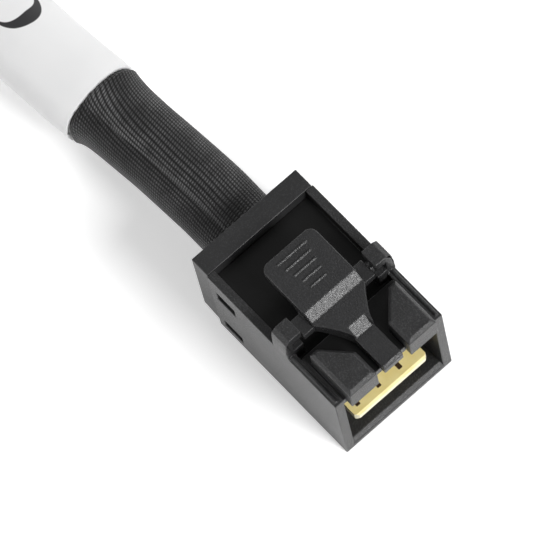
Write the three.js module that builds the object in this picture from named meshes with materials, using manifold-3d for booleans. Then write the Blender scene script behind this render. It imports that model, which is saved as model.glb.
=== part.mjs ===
// Internal four-lane storage data cable: two latching plugs joined by a sleeved flat-oval cable.
// Millimetres, +Z up. +X points out of the first plug's mouth, +Y to its right-hand side wall.
// The origin is under the middle of the first plug, on the surface that the plugs stand on.

import * as THREE from 'three';
import { mergeVertices } from 'three/addons/utils/BufferGeometryUtils.js';
import Module from 'manifold-3d';

const wasm = await Module();
wasm.setup();

// Housing: outside
const HOUSING_WIDTH = 11.3;
const HOUSING_HEIGHT = 10.25;
const HOUSING_LENGTH = 17.3;
const NOSE_REACH = 0.75;
const CAP_LENGTH = 1.95;
const CAP_SIDE_STEP = 0.1;
const CAP_BOTTOM_REAR = 1.05;
const CAP_BOTTOM_FRONT = 0.55;

// Housing: walls and rooms
const SIDE_WALL = 0.85;
const FLOOR_WALL = 0.8;
const LIP_BEVEL_LENGTH = 0.4;
const LIP_BEVEL_HEIGHT = 0.3;
const MOUTH_DEPTH = 4.0;
const ROOF_WALL = 0.85;
const DECK_RISE = 0.15;
const STEP_WALL = 0.9;
const RAIL_WIDTH = 0.78;
const POCKET_DEPTH = 1.2;
const POCKET_WALL = 0.7;
const WALL_BEAD_RADIUS = 0.18;
const WALL_BEAD_INSET = 0.35;
const WALL_BEAD_SETBACK = 0.25;

// Housing: snap windows in the side walls
const WINDOW_LENGTH = 2.15;
const WINDOW_REAR = 2.95;
const UPPER_WINDOW_DROP = 1.55;
const UPPER_WINDOW_HEIGHT = 1.45;
const LOWER_WINDOW_BOTTOM = 1.0;
const LOWER_WINDOW_HEIGHT = 1.2;
const SNAP_CLEARANCE = 0.12;
const SNAP_ARM_THICKNESS = 0.38;
const SNAP_BARB_HEIGHT = 0.42;

// Housing: raised guide blocks on the deck
const GUIDE_RISE = 2.15;
const GUIDE_DROP = 0.35;
const GUIDE_INNER = 2.0;
const GUIDE_SIDE_SETBACK = 1.4;
const GUIDE_BEVEL = 0.3;
const GUIDE_CORNER_BACK = 2.1;
const GUIDE_LENGTH = 4.2;
const GUIDE_REAR_FLAT = 0.35;

// Housing: ears that hold the latch's trunnions
const EAR_LENGTH = 1.72;
const EAR_FRONT = 5.58;
const EAR_WIDTH = 1.7;
const EAR_LEG = 0.7;
const EAR_LIP = 1.0;
const EAR_LIP_CLEARANCE = 0.35;
const EAR_BULGE = 0.05;
const EAR_SHOULDER_WIDTH = 0.6;
const EAR_SHOULDER_DROP = 0.35;

// Latch lever
const PIVOT_RISE = 1.35;
const TRUNNION_RADIUS = 0.4;
const TRUNNION_CLEARANCE = 0.3;
const WING_CLEARANCE = 0.17;
const PAD_RISE = 1.45;
const PAD_THICKNESS = 0.85;
const PAD_HALF_WIDTH = 2.71;
const PAD_CORNER = 0.75;
const PAD_EDGE_BEVEL = 0.16;
const PAD_REACH = 5.42;
const BAND_START = 0.22;
const BAND_LENGTH = 0.9;
const NECK_RISE = 0.82;
const RAMP_REAR = 3.61;
const RAMP_LENGTH = 0.93;
const RAMP_HALF_WIDTH = 0.87;
const TONGUE_RISE = 0.12;
const TONGUE_THICKNESS = 0.95;
const TONGUE_HALF_WIDTH = 0.98;
const TONGUE_CHAMFER = 0.25;
const RIDGE_WIDTH = 0.16;
const RIDGE_RISE = 0.12;
const RIDGE_PITCH = 0.79;
const RIDGE_COUNT = 5;
const RIDGE_FIRST = 0.68;
const RIDGE_LONGEST = 3.1;
const RIDGE_SHORTENING = 0.37;

// Paddle cards and what holds them
const CARD_THICKNESS = 0.9;
const CARD_CORNER = 0.3;
const CARD_EDGE_BEVEL = 0.18;
const LOWER_CARD_TOP = 3.92;
const CARD_SPACING = 3.4;
const LOWER_CARD_SETBACK = 0.4;
const UPPER_CARD_SETBACK = 1.1;
const CARD_TAIL = 1.6;
const CARD_CLEARANCE = 0.05;
const HOLDER_LENGTH = 6.8;
const HOLDER_SIDE_CLEARANCE = 0.1;
const HOLDER_CHEEK = 0.9;
const HOLDER_TOP_CLEARANCE = 0.2;
const POTTING_REAR_CLEARANCE = 0.7;
const POTTING_SIDE_CLEARANCE = 0.16;
const POTTING_TOP_CLEARANCE = 0.15;
const POTTING_FLOOR_CLEARANCE = 0.6;
const PART_GAP = 0.3;

// Wires between the potting and the cable
const PAIR_COUNT = 4;
const PAIR_WIDTH = 1.4;
const PAIR_HEIGHT = 1.2;
const RIBBON_OFFSET = 1.3;

// Cable
const CABLE_WIDTH = 6.7;
const CABLE_THICKNESS = 5.2;
const CABLE_EXIT_HEIGHT = 5.1;
const CABLE_ENTRY_CLEARANCE = 0.2;
const CABLE_ENTRY_DEPTH = 1.0;
const CABLE_SIDES = 12;
const CABLE_STEPS = 14;

// Shrink sleeves near the plugs
const SLEEVE_CLEARANCE = 0.2;
const SLEEVE_WALL = 0.3;
const SLEEVE_LENGTH = 30;
const SLEEVE_START = 17.5;
const SLEEVE_STEPS = 8;

// Coil of the length that is put away, with its tie
const COIL_X = -84;
const COIL_RADIUS = 36.5;
const COIL_LEVELS = 2;
const COIL_LEVEL_RISE = 5.4;
const COIL_BOTTOM = 0.8;
const COIL_SIDE_SLACK = 0.15;
const COIL_STEPS = 48;
const TIE_WALL = 0.6;
const TIE_CORNER = 1.2;
const TIE_LENGTH = 9;
const TIE_CLEARANCE = 0.2;
const TIE_SIDE_CLEARANCE = 0.45;

// Second plug, beside the coil and turned the same way as the first
const FAR_PLUG_X = 5.6;

// Places that follow from the sizes above
const MOUTH_X = (HOUSING_LENGTH + NOSE_REACH) / 2 - NOSE_REACH;
const REAR_X = MOUTH_X - HOUSING_LENGTH;
const CAP_FRONT_X = REAR_X + CAP_LENGTH;
const HALF_WIDTH = HOUSING_WIDTH / 2;
const INNER_HALF_WIDTH = HALF_WIDTH - SIDE_WALL;
const POCKET_FLOOR = HOUSING_HEIGHT - POCKET_DEPTH;
const TUNNEL_TOP = POCKET_FLOOR - POCKET_WALL;
const DECK_TOP = HOUSING_HEIGHT + DECK_RISE;
const UPPER_WINDOW_BOTTOM = TUNNEL_TOP - UPPER_WINDOW_DROP;
const GUIDE_TOP = HOUSING_HEIGHT + GUIDE_RISE;
const GUIDE_UNDERSIDE = HOUSING_HEIGHT - GUIDE_DROP;
const MOUTH_TOP = DECK_TOP - ROOF_WALL;
const MOUTH_BACK_X = MOUTH_X - MOUTH_DEPTH;
const POCKET_FRONT_X = MOUTH_BACK_X - STEP_WALL;
const PIVOT_X = MOUTH_X - EAR_FRONT - EAR_LENGTH / 2;
const PIVOT_HEIGHT = HOUSING_HEIGHT + PIVOT_RISE;
const EAR_LIP_BOTTOM = PIVOT_HEIGHT + TRUNNION_RADIUS + EAR_LIP_CLEARANCE;
const EAR_TOP = EAR_LIP_BOTTOM + EAR_LIP;
const EAR_INNER = HALF_WIDTH - EAR_WIDTH;
const EAR_LEG_INNER = HALF_WIDTH - EAR_LEG;
const WING_HALF_SPAN = EAR_INNER - WING_CLEARANCE;
const PAD_TOP = PIVOT_HEIGHT + PAD_RISE;
const NECK_TOP = PIVOT_HEIGHT + NECK_RISE;
const TONGUE_TOP = PIVOT_HEIGHT + TONGUE_RISE;
const SNAP_ARM_OUTER = INNER_HALF_WIDTH - SNAP_CLEARANCE / 2;
const SNAP_ARM_INNER = SNAP_ARM_OUTER - SNAP_ARM_THICKNESS;
const HOLDER_HALF_WIDTH = INNER_HALF_WIDTH - HOLDER_SIDE_CLEARANCE;
const CARD_WIDTH = 2 * (HOLDER_HALF_WIDTH - HOLDER_CHEEK);
const HOLDER_FRONT_X = MOUTH_BACK_X - CABLE_ENTRY_CLEARANCE;
const HOLDER_REAR_X = HOLDER_FRONT_X - HOLDER_LENGTH;
const LOWER_CARD_BOTTOM = LOWER_CARD_TOP - CARD_THICKNESS;
const UPPER_CARD_BOTTOM = LOWER_CARD_BOTTOM + CARD_SPACING;
const CARD_REAR_X = HOLDER_REAR_X - CARD_TAIL;
const POTTING_FRONT_X = HOLDER_REAR_X - CARD_CLEARANCE;
const POTTING_REAR_X = CAP_FRONT_X + POTTING_REAR_CLEARANCE;
const CABLE_START_X = REAR_X + CABLE_ENTRY_DEPTH;
const SIDES = [-1, 1];

// Cable's centre line from the first plug to the coil, chosen by hand
const LEAD_POINTS = [
  [-8.025, 0, CABLE_EXIT_HEIGHT],
  [-11, 0, CABLE_EXIT_HEIGHT],
  [-14, 0, CABLE_EXIT_HEIGHT],
  [-18.2, -0.22, 5.0],
  [-22, -0.5, 4.8],
  [-26.3, -0.85, 4.5],
  [-30.5, -1.15, 4.2],
  [-34.8, -1.4, 3.95],
  [-40, -1.65, 3.7],
  [-46, -1.85, 3.5],
  [-52, -1.95, 3.42],
  [-61.8, -2, 3.4],
];
const LEAD_END_Y = -2;

// Cable's centre line from the second plug back to the coil, chosen by hand
const TAIL_Y = LEAD_END_Y - 2 * COIL_RADIUS;
const TAIL_POINTS = [
  [-2.425, TAIL_Y, CABLE_EXIT_HEIGHT],
  [-5, TAIL_Y, CABLE_EXIT_HEIGHT],
  [-8, TAIL_Y, CABLE_EXIT_HEIGHT],
  [-12, TAIL_Y, 5.15],
  [-19, TAIL_Y, 5.45],
  [-26, TAIL_Y, 5.9],
  [-33, TAIL_Y, 6.5],
  [-40, TAIL_Y, 7.2],
  [-47, TAIL_Y, 7.9],
  [-54, TAIL_Y, 8.5],
  [-61.8, TAIL_Y, 8.8],
];

const FINISHES = {
  housing: new THREE.MeshStandardMaterial({ color: 0x2c2c2e, roughness: 0.55, metalness: 0 }),
  latch: new THREE.MeshStandardMaterial({ color: 0x333335, roughness: 0.6, metalness: 0 }),
  insert: new THREE.MeshStandardMaterial({ color: 0x161617, roughness: 0.6, metalness: 0 }),
  card: new THREE.MeshStandardMaterial({ color: 0xddc77f, roughness: 0.5, metalness: 0 }),
  potting: new THREE.MeshStandardMaterial({ color: 0x3a3a38, roughness: 0.5, metalness: 0 }),
  wire: new THREE.MeshStandardMaterial({ color: 0xa8aab0, roughness: 0.4, metalness: 0.6 }),
  cable: new THREE.MeshStandardMaterial({ color: 0x1c1c1e, roughness: 0.85, metalness: 0 }),
  sleeve: new THREE.MeshStandardMaterial({ color: 0xf2f2f2, roughness: 0.5, metalness: 0 }),
  tie: new THREE.MeshStandardMaterial({ color: 0x18181a, roughness: 0.8, metalness: 0 }),
};

// Turns a closed geometry into a solid that can be joined and cut
function solidOf(geometry) {
  const bare = geometry.index ? geometry.toNonIndexed() : geometry.clone();
  bare.deleteAttribute('normal');
  bare.deleteAttribute('uv');
  const merged = mergeVertices(bare, 1e-5);
  const mesh = new wasm.Mesh({
    numProp: 3,
    vertProperties: new Float32Array(merged.attributes.position.array),
    triVerts: new Uint32Array(merged.index.array),
  });
  return new wasm.Manifold(mesh);
}

// Turns a solid back into a geometry
function geometryOf(solid) {
  const mesh = solid.getMesh();
  const geometry = new THREE.BufferGeometry();
  geometry.setAttribute('position', new THREE.BufferAttribute(new Float32Array(mesh.vertProperties), 3));
  geometry.setIndex(new THREE.BufferAttribute(new Uint32Array(mesh.triVerts), 1));
  geometry.computeVertexNormals();
  return geometry;
}

function block(x0, x1, y0, y1, z0, z1) {
  const geometry = new THREE.BoxGeometry(x1 - x0, y1 - y0, z1 - z0);
  geometry.translate((x0 + x1) / 2, (y0 + y1) / 2, (z0 + z1) / 2);
  return solidOf(geometry);
}

function shapeOf(points) {
  return new THREE.Shape(points.map(([a, b]) => new THREE.Vector2(a, b)));
}

// Prism whose outline is in the YZ plane
function prismAlongX(shape, x0, x1) {
  const geometry = new THREE.ExtrudeGeometry(shape, { depth: x1 - x0, bevelEnabled: false });
  geometry.applyMatrix4(new THREE.Matrix4().set(0, 0, 1, x0, 1, 0, 0, 0, 0, 1, 0, 0, 0, 0, 0, 1));
  return solidOf(geometry);
}

// Prism whose outline is in the XZ plane
function prismAlongY(shape, y0, y1) {
  const geometry = new THREE.ExtrudeGeometry(shape, { depth: y1 - y0, bevelEnabled: false });
  geometry.applyMatrix4(new THREE.Matrix4().set(1, 0, 0, 0, 0, 0, -1, y1, 0, 1, 0, 0, 0, 0, 0, 1));
  return solidOf(geometry);
}

// Prism whose outline is in the XY plane, with an optional chamfer that grows it by bevel
function prismAlongZ(shape, z0, z1, bevel = 0) {
  const geometry = new THREE.ExtrudeGeometry(shape, {
    depth: z1 - z0 - 2 * bevel,
    bevelEnabled: bevel > 0,
    bevelThickness: bevel,
    bevelSize: bevel,
    bevelSegments: 1,
    curveSegments: 6,
  });
  geometry.translate(0, 0, z0 + bevel);
  return solidOf(geometry);
}

// Cylinder lying along Y
function rodAlongY(x, z, radius, y0, y1, sides = 20) {
  const geometry = new THREE.CylinderGeometry(radius, radius, y1 - y0, sides);
  geometry.translate(x, (y0 + y1) / 2, z);
  return solidOf(geometry);
}

// Half-round bead lying along X on a flat top
function beadAlongX(y, z, radius, x0, x1) {
  const shape = new THREE.Shape();
  shape.moveTo(y + radius, z - radius);
  shape.lineTo(y + radius, z);
  shape.absarc(y, z, radius, 0, Math.PI, false);
  shape.lineTo(y - radius, z - radius);
  return prismAlongX(shape, x0, x1);
}

// Oval of the cable's section: thickness up and width across, whichever way the sweep is framed
function oval(width, thickness, upright, sides = CABLE_SIDES) {
  const [first, second] = upright ? [thickness, width] : [width, thickness];
  const points = [];
  for (let i = 0; i < sides; i += 1) {
    const turn = ((i + 0.5) / sides) * 2 * Math.PI;
    points.push([(first / 2) * Math.cos(turn), (second / 2) * Math.sin(turn)]);
  }
  return points;
}

function curveThrough(points) {
  return new THREE.CatmullRomCurve3(points.map(([x, y, z]) => new THREE.Vector3(x, y, z)));
}

// Sweeps the cable's oval, grown by margin, along the points; bore is the margin of a hole in it
function sweepOval(points, steps, margin, bore) {
  const curve = curveThrough(points);
  const upright = Math.abs(curve.computeFrenetFrames(steps).normals[0].z) > 0.5;
  const shape = shapeOf(oval(CABLE_WIDTH + 2 * margin, CABLE_THICKNESS + 2 * margin, upright));
  if (bore !== null) {
    const hole = oval(CABLE_WIDTH + 2 * bore, CABLE_THICKNESS + 2 * bore, upright);
    shape.holes.push(new THREE.Path(hole.map(([a, b]) => new THREE.Vector2(a, b))));
  }
  return new THREE.ExtrudeGeometry(shape, { steps, bevelEnabled: false, extrudePath: curve });
}

function part(name, solid, finish) {
  const geometry = solid instanceof THREE.BufferGeometry ? solid : geometryOf(solid);
  const mesh = new THREE.Mesh(geometry, finish);
  mesh.name = name;
  return mesh;
}

// One ear: a C that stands on the housing's top edge and closes over a trunnion
function ear(side) {
  const jaw = PIVOT_HEIGHT - TRUNNION_RADIUS - TRUNNION_CLEARANCE;
  const bulge = HALF_WIDTH + EAR_BULGE;
  const shoulderY = bulge - EAR_SHOULDER_WIDTH;
  const shoulderZ = EAR_TOP - EAR_SHOULDER_DROP;
  const outline = [
    [EAR_INNER, TUNNEL_TOP],
    [HALF_WIDTH, TUNNEL_TOP],
    [HALF_WIDTH, HOUSING_HEIGHT - DECK_RISE],
    [bulge, (HOUSING_HEIGHT + EAR_LIP_BOTTOM) / 2],
    [bulge - EAR_BULGE, EAR_LIP_BOTTOM],
    [bulge - EAR_SHOULDER_WIDTH / 4, shoulderZ],
    [shoulderY, EAR_TOP],
    [EAR_INNER, EAR_TOP],
    [EAR_INNER, EAR_LIP_BOTTOM],
    [EAR_LEG_INNER, EAR_LIP_BOTTOM],
    [EAR_LEG_INNER, jaw],
    [EAR_INNER, jaw],
  ];
  const front = MOUTH_X - EAR_FRONT;
  const mirrored = outline.map(([y, z]) => [side * y, z]);
  return prismAlongX(shapeOf(mirrored), front - EAR_LENGTH, front);
}

// One guide block: five-sided in plan, chamfered all round its top
function guideBlock(side) {
  const front = MOUTH_X + NOSE_REACH - GUIDE_BEVEL;
  const outer = HALF_WIDTH - GUIDE_SIDE_SETBACK;
  const rear = front - GUIDE_LENGTH;
  const outline = [
    [front, GUIDE_INNER],
    [front, outer],
    [rear, outer],
    [rear, outer - GUIDE_REAR_FLAT],
    [front - GUIDE_CORNER_BACK, GUIDE_INNER],
  ].map(([x, y]) => [x, side * y]);
  const tall = prismAlongZ(shapeOf(outline), TUNNEL_TOP, GUIDE_TOP, GUIDE_BEVEL);
  const reach = HOUSING_LENGTH;
  return tall.intersect(block(-reach, reach, -reach, reach, GUIDE_UNDERSIDE, GUIDE_TOP));
}

function snapWindows() {
  const rear = CAP_FRONT_X + WINDOW_REAR - WINDOW_LENGTH;
  const heights = [
    [UPPER_WINDOW_BOTTOM, UPPER_WINDOW_HEIGHT],
    [LOWER_WINDOW_BOTTOM, LOWER_WINDOW_HEIGHT],
  ];
  return heights.map(([bottom, height]) => ({ rear, front: rear + WINDOW_LENGTH, bottom, top: bottom + height }));
}

// Moulded housing: shroud, deck, sunk pocket, rails, guide blocks and ears in one piece
function housing() {
  const past = SIDE_WALL;
  let body = block(CAP_FRONT_X, MOUTH_X, -HALF_WIDTH, HALF_WIDTH, 0, HOUSING_HEIGHT);
  body = body.add(block(POCKET_FRONT_X, MOUTH_X, -INNER_HALF_WIDTH, INNER_HALF_WIDTH, MOUTH_TOP, DECK_TOP));
  const tunnel = [CAP_FRONT_X - past, POCKET_FRONT_X, -INNER_HALF_WIDTH, INNER_HALF_WIDTH];
  body = body.subtract(block(...tunnel, FLOOR_WALL, TUNNEL_TOP));
  body = body.subtract(
    block(POCKET_FRONT_X, MOUTH_BACK_X, -INNER_HALF_WIDTH, INNER_HALF_WIDTH, FLOOR_WALL, TUNNEL_TOP),
  );
  body = body.subtract(
    block(MOUTH_BACK_X, MOUTH_X + past, -INNER_HALF_WIDTH, INNER_HALF_WIDTH, FLOOR_WALL, MOUTH_TOP),
  );
  const railInner = HALF_WIDTH - RAIL_WIDTH;
  body = body.subtract(
    block(CAP_FRONT_X - past, POCKET_FRONT_X, -railInner, railInner, POCKET_FLOOR, HOUSING_HEIGHT + past),
  );
  const lip = [
    [MOUTH_X - LIP_BEVEL_LENGTH, FLOOR_WALL],
    [MOUTH_X, FLOOR_WALL - LIP_BEVEL_HEIGHT],
    [MOUTH_X + past, FLOOR_WALL - LIP_BEVEL_HEIGHT],
    [MOUTH_X + past, FLOOR_WALL],
  ];
  body = body.subtract(prismAlongY(shapeOf(lip), -INNER_HALF_WIDTH, INNER_HALF_WIDTH));
  for (const side of SIDES) {
    const beadY = side * (HALF_WIDTH - WALL_BEAD_INSET);
    const beadRear = MOUTH_X - EAR_FRONT;
    body = body.add(
      beadAlongX(beadY, HOUSING_HEIGHT, WALL_BEAD_RADIUS, beadRear, MOUTH_X - WALL_BEAD_SETBACK),
    );
    body = body.add(ear(side));
    body = body.add(guideBlock(side));
  }
  for (const { rear, front, bottom, top } of snapWindows()) {
    body = body.subtract(block(rear, front, -HALF_WIDTH - past, HALF_WIDTH + past, bottom, top));
  }
  return body;
}

// Rear cap: closes the housing's back, lets the cable in and snaps into the side windows
function rearCap() {
  const capHalf = HALF_WIDTH - CAP_SIDE_STEP;
  const profile = [
    [REAR_X, CAP_BOTTOM_REAR],
    [CAP_FRONT_X, CAP_BOTTOM_FRONT],
    [CAP_FRONT_X, HOUSING_HEIGHT],
    [REAR_X, HOUSING_HEIGHT],
  ];
  let cap = prismAlongY(shapeOf(profile), -capHalf, capHalf);
  const entry = oval(
    CABLE_WIDTH + 2 * CABLE_ENTRY_CLEARANCE,
    CABLE_THICKNESS + 2 * CABLE_ENTRY_CLEARANCE,
    false,
    2 * CABLE_SIDES,
  ).map(([y, z]) => [y, z + CABLE_EXIT_HEIGHT]);
  cap = cap.subtract(prismAlongX(shapeOf(entry), REAR_X - SIDE_WALL, CAP_FRONT_X + SIDE_WALL));
  for (const side of SIDES) {
    for (const { rear, front, bottom, top } of snapWindows()) {
      const low = Math.max(bottom, FLOOR_WALL) + SNAP_CLEARANCE;
      const high = Math.min(top, TUNNEL_TOP) - SNAP_CLEARANCE;
      const ends = [side * SNAP_ARM_INNER, side * SNAP_ARM_OUTER].sort((a, b) => a - b);
      cap = cap.add(block(CAP_FRONT_X - CAP_LENGTH / 2, front, ends[0], ends[1], low, high));
      const barb = [
        [front - SNAP_CLEARANCE, side * SNAP_ARM_INNER],
        [front - SNAP_CLEARANCE, side * SNAP_ARM_OUTER],
        [rear + SNAP_CLEARANCE + SNAP_BARB_HEIGHT, side * (SNAP_ARM_OUTER + SNAP_BARB_HEIGHT)],
        [rear + SNAP_CLEARANCE, side * (SNAP_ARM_OUTER + SNAP_BARB_HEIGHT)],
        [rear + SNAP_CLEARANCE, side * SNAP_ARM_INNER],
      ];
      cap = cap.add(prismAlongZ(shapeOf(barb), low, high));
    }
  }
  return cap;
}

// Plan outline of the latch: round-cornered pad, tapering neck, narrow tongue
function latchOutline() {
  const rear = PIVOT_X - PAD_REACH;
  const neckStart = PIVOT_X + EAR_LENGTH / 2;
  const neckEnd = MOUTH_X - RAMP_REAR + RAMP_LENGTH;
  const nose = MOUTH_X + NOSE_REACH;
  const neckDraw = RAMP_LENGTH / 2;
  const shape = new THREE.Shape();
  shape.moveTo(nose, -TONGUE_HALF_WIDTH);
  shape.lineTo(nose, TONGUE_HALF_WIDTH);
  shape.lineTo(neckEnd, TONGUE_HALF_WIDTH);
  shape.bezierCurveTo(
    neckEnd - neckDraw, TONGUE_HALF_WIDTH,
    neckStart + neckDraw, PAD_HALF_WIDTH - neckDraw,
    neckStart, PAD_HALF_WIDTH,
  );
  shape.lineTo(rear + PAD_CORNER, PAD_HALF_WIDTH);
  shape.absarc(rear + PAD_CORNER, PAD_HALF_WIDTH - PAD_CORNER, PAD_CORNER, Math.PI / 2, Math.PI, false);
  shape.absarc(rear + PAD_CORNER, PAD_CORNER - PAD_HALF_WIDTH, PAD_CORNER, Math.PI, 1.5 * Math.PI, false);
  shape.lineTo(neckStart, -PAD_HALF_WIDTH);
  shape.bezierCurveTo(
    neckStart + neckDraw, neckDraw - PAD_HALF_WIDTH,
    neckEnd - neckDraw, -TONGUE_HALF_WIDTH,
    neckEnd, -TONGUE_HALF_WIDTH,
  );
  return shape;
}

// Side profile of the latch, from the pad's rear edge to the tongue's nose
function latchProfile() {
  const rear = PIVOT_X - PAD_REACH;
  const padBottom = PAD_TOP - PAD_THICKNESS;
  const bandRear = PIVOT_X - BAND_START;
  const bossBottom = PIVOT_HEIGHT - TRUNNION_RADIUS;
  const bossRear = PIVOT_X - EAR_LENGTH / 2;
  const bossFront = PIVOT_X + EAR_LENGTH / 2;
  const rampFront = MOUTH_X - RAMP_REAR + RAMP_LENGTH;
  const nose = MOUTH_X + NOSE_REACH;
  const tongueBottom = TONGUE_TOP - TONGUE_THICKNESS;
  return shapeOf([
    [rear, padBottom],
    [bossRear - PAD_THICKNESS, padBottom],
    [bossRear, bossBottom],
    [bossFront, bossBottom],
    [rampFront - RAMP_LENGTH / 2, tongueBottom],
    [nose, tongueBottom],
    [nose, TONGUE_TOP - TONGUE_CHAMFER],
    [nose - TONGUE_CHAMFER, TONGUE_TOP],
    [rampFront, TONGUE_TOP],
    [rampFront, NECK_TOP],
    [bandRear + BAND_LENGTH, NECK_TOP],
    [bandRear, PAD_TOP],
    [rear, PAD_TOP],
  ]);
}

// Latch lever: thumb pad, trunnion wings, neck with a sunk ramp, and the tongue
function latch() {
  const outline = latchOutline();
  const profile = latchProfile();
  const reach = PAD_HALF_WIDTH + PAD_CORNER;
  let lever = prismAlongZ(outline, PIVOT_HEIGHT - reach, PAD_TOP + reach);
  lever = lever.intersect(prismAlongY(profile, -reach, reach));
  const wingRear = PIVOT_X - EAR_LENGTH / 2;
  const wingTop = PIVOT_HEIGHT + TRUNNION_RADIUS;
  const wingBottom = PIVOT_HEIGHT - TRUNNION_RADIUS;
  lever = lever.add(
    block(wingRear, wingRear + EAR_LENGTH, -WING_HALF_SPAN, WING_HALF_SPAN, wingBottom, wingTop),
  );
  const trunnionEnd = EAR_LEG_INNER - TRUNNION_CLEARANCE;
  lever = lever.add(rodAlongY(PIVOT_X, PIVOT_HEIGHT, TRUNNION_RADIUS, -trunnionEnd, trunnionEnd));
  const rampRear = MOUTH_X - RAMP_REAR;
  const ramp = shapeOf([
    [rampRear, NECK_TOP],
    [rampRear + RAMP_LENGTH, TONGUE_TOP],
    [rampRear + RAMP_LENGTH + RIDGE_WIDTH, TONGUE_TOP],
    [rampRear + RAMP_LENGTH + RIDGE_WIDTH, PAD_TOP],
    [rampRear, PAD_TOP],
  ]);
  lever = lever.subtract(prismAlongY(ramp, -RAMP_HALF_WIDTH, RAMP_HALF_WIDTH));
  const rear = PIVOT_X - PAD_REACH;
  for (let i = 0; i < RIDGE_COUNT; i += 1) {
    const x = rear + RIDGE_FIRST + i * RIDGE_PITCH;
    const half = (RIDGE_LONGEST - i * RIDGE_SHORTENING) / 2;
    lever = lever.add(
      block(x, x + RIDGE_WIDTH, -half, half, PAD_TOP - PAD_THICKNESS / 2, PAD_TOP + RIDGE_RISE),
    );
  }
  return lever;
}

// Paddle card with clipped front corners and a bevelled mating edge
function paddleCard(setback, bottom) {
  const front = MOUTH_X - setback;
  const half = CARD_WIDTH / 2;
  const plan = shapeOf([
    [CARD_REAR_X, -half],
    [front - CARD_CORNER, -half],
    [front, CARD_CORNER - half],
    [front, half - CARD_CORNER],
    [front - CARD_CORNER, half],
    [CARD_REAR_X, half],
  ]);
  const profile = shapeOf([
    [CARD_REAR_X, bottom],
    [front - CARD_EDGE_BEVEL, bottom],
    [front, bottom + CARD_EDGE_BEVEL],
    [front, bottom + CARD_THICKNESS - CARD_EDGE_BEVEL],
    [front - CARD_EDGE_BEVEL, bottom + CARD_THICKNESS],
    [CARD_REAR_X, bottom + CARD_THICKNESS],
  ]);
  const slab = prismAlongZ(plan, bottom, bottom + CARD_THICKNESS);
  return slab.intersect(prismAlongY(profile, -half, half));
}

// Room that the two cards need in what surrounds them
function cardSlots(x0, x1) {
  const half = CARD_WIDTH / 2 + CARD_CLEARANCE;
  const height = CARD_THICKNESS + CARD_CLEARANCE;
  const lower = block(x0, x1, -half, half, LOWER_CARD_BOTTOM, LOWER_CARD_BOTTOM + height);
  return lower.add(block(x0, x1, -half, half, UPPER_CARD_BOTTOM, UPPER_CARD_BOTTOM + height));
}

function cardHolder() {
  const half = HOLDER_HALF_WIDTH;
  const top = TUNNEL_TOP - HOLDER_TOP_CLEARANCE;
  const body = block(HOLDER_REAR_X, HOLDER_FRONT_X, -half, half, FLOOR_WALL, top);
  return body.subtract(cardSlots(HOLDER_REAR_X - CARD_TAIL, HOLDER_FRONT_X + CARD_TAIL));
}

// Cast block over the soldered ends of the wires
function potting() {
  const half = SNAP_ARM_INNER - POTTING_SIDE_CLEARANCE;
  const bottom = FLOOR_WALL + POTTING_FLOOR_CLEARANCE;
  const top = TUNNEL_TOP - POTTING_TOP_CLEARANCE;
  const body = block(POTTING_REAR_X, POTTING_FRONT_X, -half, half, bottom, top);
  return body.subtract(cardSlots(CARD_REAR_X - CARD_CLEARANCE, POTTING_FRONT_X + CARD_TAIL));
}

// Flat ribbon of shielded pairs between the potting and the cable's end
function wireRibbon(z) {
  const front = POTTING_REAR_X;
  const rear = CABLE_START_X + PART_GAP;
  let ribbon = null;
  for (let i = 0; i < PAIR_COUNT; i += 1) {
    const y = (i - (PAIR_COUNT - 1) / 2) * PAIR_WIDTH;
    const bevel = PAIR_HEIGHT / 4;
    const overlap = PAIR_WIDTH / 2 + CARD_CLEARANCE;
    const pair = prismAlongX(
      shapeOf([
        [y - overlap, z - PAIR_HEIGHT / 2 + bevel],
        [y - overlap + bevel, z - PAIR_HEIGHT / 2],
        [y + overlap - bevel, z - PAIR_HEIGHT / 2],
        [y + overlap, z - PAIR_HEIGHT / 2 + bevel],
        [y + overlap, z + PAIR_HEIGHT / 2 - bevel],
        [y + overlap - bevel, z + PAIR_HEIGHT / 2],
        [y - overlap + bevel, z + PAIR_HEIGHT / 2],
        [y - overlap, z + PAIR_HEIGHT / 2 - bevel],
      ]),
      rear,
      front,
    );
    ribbon = ribbon ? ribbon.add(pair) : pair;
  }
  return ribbon;
}

// All the pieces of one plug, named with the plug's letter
function plug(letter) {
  const group = new THREE.Group();
  group.add(
    part(`housing_${letter}`, housing(), FINISHES.housing),
    part(`rear_cap_${letter}`, rearCap(), FINISHES.housing),
    part(`latch_lever_${letter}`, latch(), FINISHES.latch),
    part(`card_holder_${letter}`, cardHolder(), FINISHES.insert),
    part(`upper_card_${letter}`, paddleCard(UPPER_CARD_SETBACK, UPPER_CARD_BOTTOM), FINISHES.card),
    part(`lower_card_${letter}`, paddleCard(LOWER_CARD_SETBACK, LOWER_CARD_BOTTOM), FINISHES.card),
    part(`potting_${letter}`, potting(), FINISHES.potting),
    part(`upper_wires_${letter}`, wireRibbon(CABLE_EXIT_HEIGHT + RIBBON_OFFSET), FINISHES.wire),
    part(`lower_wires_${letter}`, wireRibbon(CABLE_EXIT_HEIGHT - RIBBON_OFFSET), FINISHES.wire),
  );
  return group;
}

// Solid tube that stands for an uncoiled stretch of the cable
function cableTube(name, points) {
  return part(name, sweepOval(points, CABLE_STEPS, 0, null), FINISHES.cable);
}

// Shrink sleeve: a thin-walled tube around the cable between two places along X
function shrinkSleeve(name, points, x0, x1) {
  const samples = curveThrough(points).getSpacedPoints(60);
  const route = samples.filter((p) => p.x >= x0 && p.x <= x1).map((p) => [p.x, p.y, p.z]);
  const outer = SLEEVE_CLEARANCE + SLEEVE_WALL;
  return part(name, sweepOval(route, SLEEVE_STEPS, outer, SLEEVE_CLEARANCE), FINISHES.sleeve);
}

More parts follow.
